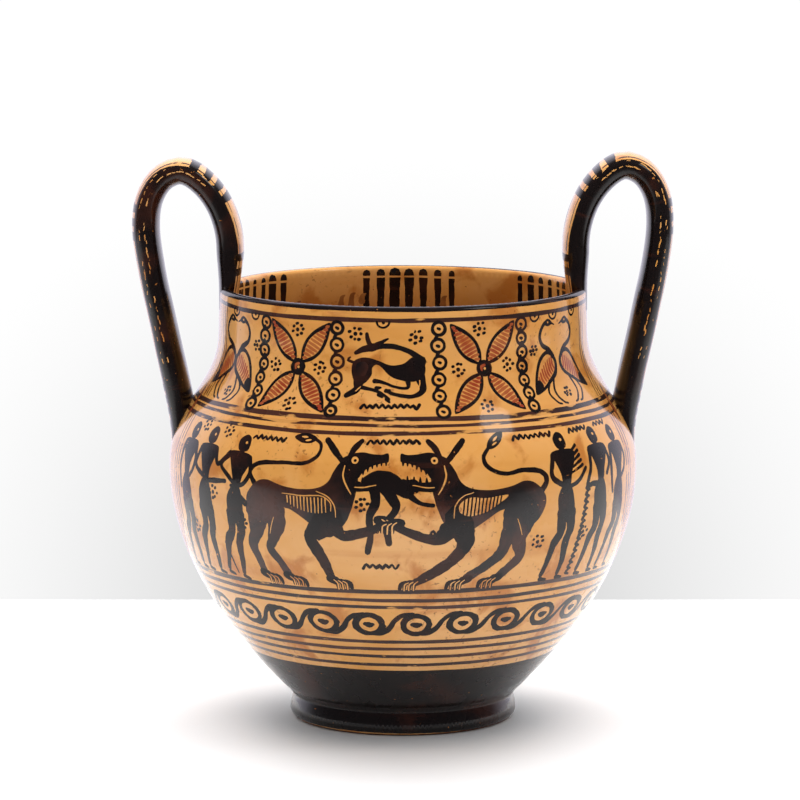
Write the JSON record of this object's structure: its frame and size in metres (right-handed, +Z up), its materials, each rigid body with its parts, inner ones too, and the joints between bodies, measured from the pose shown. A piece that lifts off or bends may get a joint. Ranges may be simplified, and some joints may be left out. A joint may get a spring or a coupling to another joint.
{
  "type": "two-handled krater",
  "caption": "Round-bellied footed krater with a wide mouth and tall strap handles, glossy clay painted in dark figure friezes, open and empty.",
  "frame": {"origin": "on the pot's axis in the plane of the foot's standing ring", "axes": "+Z up the pot's axis; the handles are on -X and +X; the main picture faces -Y"},
  "size_m": [0.2378, 0.207, 0.25],
  "materials": {
    "painted_clay": "glossy varnished golden clay painted in near-black slip with brick-red hatching"
  },
  "bodies": {
    "root": {"krater": "painted_clay"}
  },
  "joints": []
}
